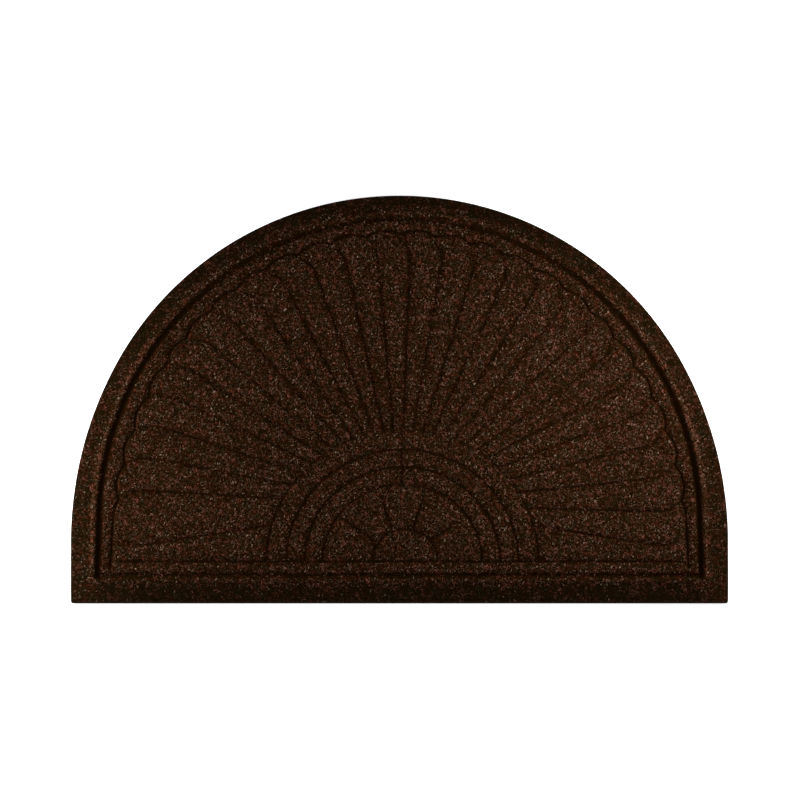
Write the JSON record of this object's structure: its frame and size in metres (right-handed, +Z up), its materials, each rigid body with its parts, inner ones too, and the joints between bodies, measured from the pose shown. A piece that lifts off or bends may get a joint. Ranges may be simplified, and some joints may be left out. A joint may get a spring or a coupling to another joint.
{
  "type": "half moon doormat",
  "caption": "Flat half moon entrance mat of dark brown felt, with a raised sunburst fan of rounded petals over a half rosette, a scalloped rib and a border that slopes down to a thin rim.",
  "frame": {"origin": "Centre of the mat's outline box, on the floor under the mat.", "axes": "+X runs along the straight edge and is the longest extent, +Y points from the straight edge to the crown of the arch, and +Z points up from the floor through the felt face."},
  "size_m": [0.99, 0.614, 0.0095],
  "materials": {
    "mat_felt": "matte needle-punched felt"
  },
  "bodies": {
    "root": {"mat": "mat_felt"}
  },
  "joints": []
}
